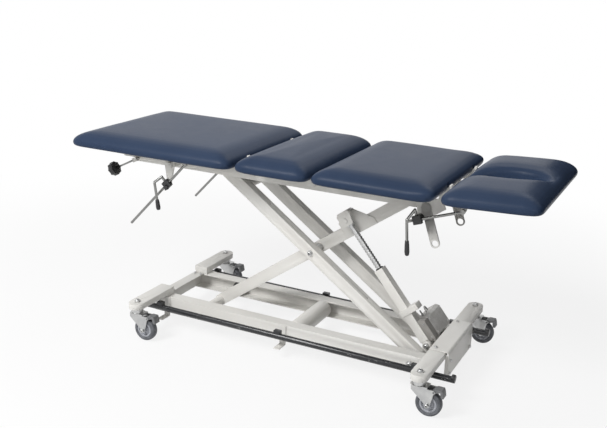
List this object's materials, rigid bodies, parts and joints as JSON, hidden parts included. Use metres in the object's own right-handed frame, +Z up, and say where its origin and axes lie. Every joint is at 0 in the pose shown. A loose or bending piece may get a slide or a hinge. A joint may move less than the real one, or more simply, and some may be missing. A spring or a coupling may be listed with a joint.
{
  "type": "treatment table",
  "caption": "Powered hi-lo treatment table: padded sections with a face opening and a tilting head and leg end, on a scissor lift with braked casters.",
  "frame": {"origin": "on the floor under the middle of the padded top", "axes": "+X along the table to the head end, +Z up, near side at -Y"},
  "size_m": [1.9617, 0.786, 0.8587],
  "materials": {
    "off_white_paint": "powder coat, satin, fine texture",
    "black_paint": "gloss black with scuffs",
    "zinc_steel": "zinc plated, satin",
    "roller_plastic": "moulded, matte",
    "taupe_plastic": "moulded, matte",
    "grained_plastic": "moulded, grained",
    "cable_sheath": "smooth, matte",
    "navy_vinyl": "soft vinyl, satin",
    "chromed_steel": "polished",
    "black_cast": "black, satin",
    "black_plastic": "moulded, satin",
    "grey_tread": "non-marking grey",
    "light_hub": "moulded, satin",
    "pedal_plastic": "moulded, matte"
  },
  "bodies": {
    "base": {"base_rails": "off_white_paint", "base_cross_tube": "off_white_paint", "end_beams": "off_white_paint", "foot_end_plate": "off_white_paint", "head_end_cover": "off_white_paint", "actuator_foot_bracket": "off_white_paint", "foot_bar_brackets": "off_white_paint", "base_bolts": "zinc_steel", "pivot_pins": "zinc_steel"},
    "outer_arms": {"outer_arms": "off_white_paint", "outer_tie": "off_white_paint", "scissor_pivot": "zinc_steel"},
    "inner_arm": {"inner_arm": "off_white_paint", "rod_clevis": "off_white_paint"},
    "lower_rollers": {"lower_rollers": "roller_plastic"},
    "upper_rollers": {"upper_rollers": "roller_plastic"},
    "actuator": {"actuator_tube": "off_white_paint", "motor_housing": "taupe_plastic", "control_box": "grained_plastic", "cable_loops": "cable_sheath"},
    "actuator_rod": {"actuator_rod": "zinc_steel"},
    "top_frame": {"top_rails": "off_white_paint", "top_cross_members": "off_white_paint", "head_hinge_brackets": "off_white_paint", "strap_tabs": "off_white_paint", "pelvic_pad": "navy_vinyl", "chest_pad": "navy_vinyl"},
    "foot_bar_near": {"foot_bar_near": "black_paint"},
    "foot_bar_far": {"foot_bar_far": "black_paint"},
    "leg_carriage": {"leg_carriage": "off_white_paint"},
    "leg_section": {"leg_frame": "off_white_paint", "leg_pad": "navy_vinyl"},
    "pull_knob": {"pull_rod": "chromed_steel", "pull_knob": "black_plastic"},
    "leg_clamps": {"leg_clamps": "black_cast"},
    "leg_rods": {"leg_rods": "chromed_steel"},
    "leg_lever": {"leg_lever": "chromed_steel", "leg_grip": "black_plastic"},
    "star_knob": {"star_knob": "black_plastic"},
    "head_section": {"head_frame": "off_white_paint", "head_pad": "navy_vinyl"},
    "head_clamps": {"head_clamps": "black_cast"},
    "head_rods": {"head_rods": "chromed_steel"},
    "head_lever": {"head_lever": "chromed_steel"},
    "caster_nf": {"caster_fork_nf": "zinc_steel"},
    "wheel_nf": {"caster_tyre_nf": "grey_tread", "caster_hub_nf": "light_hub"},
    "pedal_nf": {"brake_pedal_nf": "pedal_plastic"},
    "caster_ff": {"caster_fork_ff": "zinc_steel"},
    "wheel_ff": {"caster_tyre_ff": "grey_tread", "caster_hub_ff": "light_hub"},
    "pedal_ff": {"brake_pedal_ff": "pedal_plastic"},
    "caster_nh": {"caster_fork_nh": "zinc_steel"},
    "wheel_nh": {"caster_tyre_nh": "grey_tread", "caster_hub_nh": "light_hub"},
    "pedal_nh": {"brake_pedal_nh": "pedal_plastic"},
    "caster_fh": {"caster_fork_fh": "zinc_steel"},
    "wheel_fh": {"caster_tyre_fh": "grey_tread", "caster_hub_fh": "light_hub"},
    "pedal_fh": {"brake_pedal_fh": "pedal_plastic"}
  },
  "joints": [
    {"name": "lift", "type": "hinge", "parent": "base", "child": "outer_arms", "pos_m": [0.5227, 0, 0.094], "axis": [0, 1, 0], "range_deg": [-21, 6.2]},
    {"name": "scissor", "type": "hinge", "parent": "outer_arms", "child": "inner_arm", "pos_m": [0.04604, 0, 0.434], "axis": [0, 1, 0], "range_deg": [-12.4, 42]},
    {"name": "top_level", "type": "hinge", "parent": "inner_arm", "child": "top_frame", "pos_m": [0.46661, 0, 0.73399], "axis": [0, 1, 0], "range_deg": [-21, 6.2]},
    {"name": "lower_roller_spin", "type": "hinge", "parent": "inner_arm", "child": "lower_rollers", "pos_m": [-0.43063, 0, 0.094], "axis": [0, 1, 0], "continuous": true},
    {"name": "upper_roller_spin", "type": "hinge", "parent": "outer_arms", "child": "upper_rollers", "pos_m": [-0.37454, 0, 0.73399], "axis": [0, 1, 0], "continuous": true},
    {"name": "actuator_swing", "type": "hinge", "parent": "base", "child": "actuator", "pos_m": [0.548, -0.043, 0.13], "axis": [0, 1, 0], "range_deg": [-22.9, 6.77]},
    {"name": "actuator_extend", "type": "slide", "parent": "actuator", "child": "actuator_rod", "axis": [-0.6388, 0, 0.7694], "range_m": [-0.12178, 0.03603]},
    {"name": "caster_swivel_nf", "type": "hinge", "parent": "base", "child": "caster_nf", "pos_m": [-0.632, -0.355, 0.125], "axis": [0, 0, 1], "continuous": true},
    {"name": "wheel_spin_nf", "type": "hinge", "parent": "caster_nf", "child": "wheel_nf", "pos_m": [-0.59, -0.355, 0.05], "axis": [0, 1, 0], "continuous": true},
    {"name": "brake_nf", "type": "hinge", "parent": "caster_nf", "child": "pedal_nf", "pos_m": [-0.57, -0.355, 0.105], "axis": [0, 1, 0], "range_deg": [0, 8]},
    {"name": "caster_swivel_ff", "type": "hinge", "parent": "base", "child": "caster_ff", "pos_m": [-0.632, 0.355, 0.125], "axis": [0, 0, 1], "continuous": true},
    {"name": "wheel_spin_ff", "type": "hinge", "parent": "caster_ff", "child": "wheel_ff", "pos_m": [-0.59, 0.355, 0.05], "axis": [0, 1, 0], "continuous": true},
    {"name": "brake_ff", "type": "hinge", "parent": "caster_ff", "child": "pedal_ff", "pos_m": [-0.57, 0.355, 0.105], "axis": [0, 1, 0], "range_deg": [0, 8]},
    {"name": "caster_swivel_nh", "type": "hinge", "parent": "base", "child": "caster_nh", "pos_m": [0.621, -0.355, 0.125], "axis": [0, 0, 1], "continuous": true},
    {"name": "wheel_spin_nh", "type": "hinge", "parent": "caster_nh", "child": "wheel_nh", "pos_m": [0.663, -0.355, 0.05], "axis": [0, 1, 0], "continuous": true},
    {"name": "brake_nh", "type": "hinge", "parent": "caster_nh", "child": "pedal_nh", "pos_m": [0.683, -0.355, 0.105], "axis": [0, 1, 0], "range_deg": [0, 8]},
    {"name": "caster_swivel_fh", "type": "hinge", "parent": "base", "child": "caster_fh", "pos_m": [0.621, 0.355, 0.125], "axis": [0, 0, 1], "continuous": true},
    {"name": "wheel_spin_fh", "type": "hinge", "parent": "caster_fh", "child": "wheel_fh", "pos_m": [0.663, 0.355, 0.05], "axis": [0, 1, 0], "continuous": true},
    {"name": "brake_fh", "type": "hinge", "parent": "caster_fh", "child": "pedal_fh", "pos_m": [0.683, 0.355, 0.105], "axis": [0, 1, 0], "range_deg": [0, 8]},
    {"name": "foot_bar_press_near", "type": "slide", "parent": "base", "child": "foot_bar_near", "axis": [0, 0, -1], "range_m": [0, 0.008], "stiffness_N_per_m": 6000, "springref_m": -0.012},
    {"name": "foot_bar_press_far", "type": "slide", "parent": "base", "child": "foot_bar_far", "axis": [0, 0, -1], "range_m": [0, 0.008], "stiffness_N_per_m": 6000, "springref_m": -0.012},
    {"name": "leg_slide", "type": "slide", "parent": "top_frame", "child": "leg_carriage", "axis": [-1, 0, 0], "range_m": [0, 0.15]},
    {"name": "leg_lift", "type": "hinge", "parent": "leg_carriage", "child": "leg_section", "pos_m": [-0.202, 0, 0.816], "axis": [0, 1, 0], "range_deg": [0, 60]},
    {"name": "leg_clamp_swivel", "type": "hinge", "parent": "leg_carriage", "child": "leg_clamps", "pos_m": [-0.549, 0, 0.664], "axis": [0, 1, 0], "range_deg": [-17.61, 0]},
    {"name": "leg_rod_slide", "type": "slide", "parent": "leg_clamps", "child": "leg_rods", "axis": [0.6832, 0, 0.7303], "range_m": [0, 0.25802]},
    {"name": "leg_lever_turn", "type": "hinge", "parent": "leg_clamps", "child": "leg_lever", "pos_m": [-0.57383, -0.247, 0.68723], "axis": [-0.7303, 0, 0.6832], "range_deg": [0, 40]},
    {"name": "star_knob_turn", "type": "hinge", "parent": "leg_clamps", "child": "star_knob", "pos_m": [-0.54458, -0.26, 0.65256], "axis": [0, 1, 0], "continuous": true},
    {"name": "leg_release", "type": "slide", "parent": "leg_carriage", "child": "pull_knob", "axis": [-0.8942, 0, -0.4478], "range_m": [0, 0.012], "stiffness_N_per_m": 1500, "springref_m": -0.006},
    {"name": "head_tilt", "type": "hinge", "parent": "top_frame", "child": "head_section", "pos_m": [0.62, 0, 0.816], "axis": [0, -1, 0], "range_deg": [-45, 15]},
    {"name": "head_clamp_swivel", "type": "hinge", "parent": "top_frame", "child": "head_clamps", "pos_m": [0.516, 0, 0.681], "axis": [0, -1, 0], "range_deg": [-2.71, 0.91]},
    {"name": "head_rod_slide", "type": "slide", "parent": "head_clamps", "child": "head_rods", "axis": [0.9458, 0, 0.3248], "range_m": [-0.0755, 0.0252]},
    {"name": "head_lever_turn", "type": "hinge", "parent": "head_clamps", "child": "head_lever", "pos_m": [0.50496, -0.2, 0.71316], "axis": [-0.3248, 0, 0.9458], "range_deg": [0, 40]}
  ],
  "couplings": [
    {"joint": "scissor", "follows": "lift", "ratio": -2},
    {"joint": "top_level", "follows": "lift", "ratio": 1},
    {"joint": "actuator_swing", "follows": "lift", "ratio": 1.09},
    {"joint": "actuator_extend", "follows": "lift", "m_per_rad": 0.332},
    {"joint": "leg_clamp_swivel", "follows": "leg_lift", "ratio": -0.2934},
    {"joint": "leg_rod_slide", "follows": "leg_lift", "m_per_rad": 0.2463},
    {"joint": "head_clamp_swivel", "follows": "head_tilt", "ratio": 0.06},
    {"joint": "head_rod_slide", "follows": "head_tilt", "m_per_rad": 0.096}
  ]
}
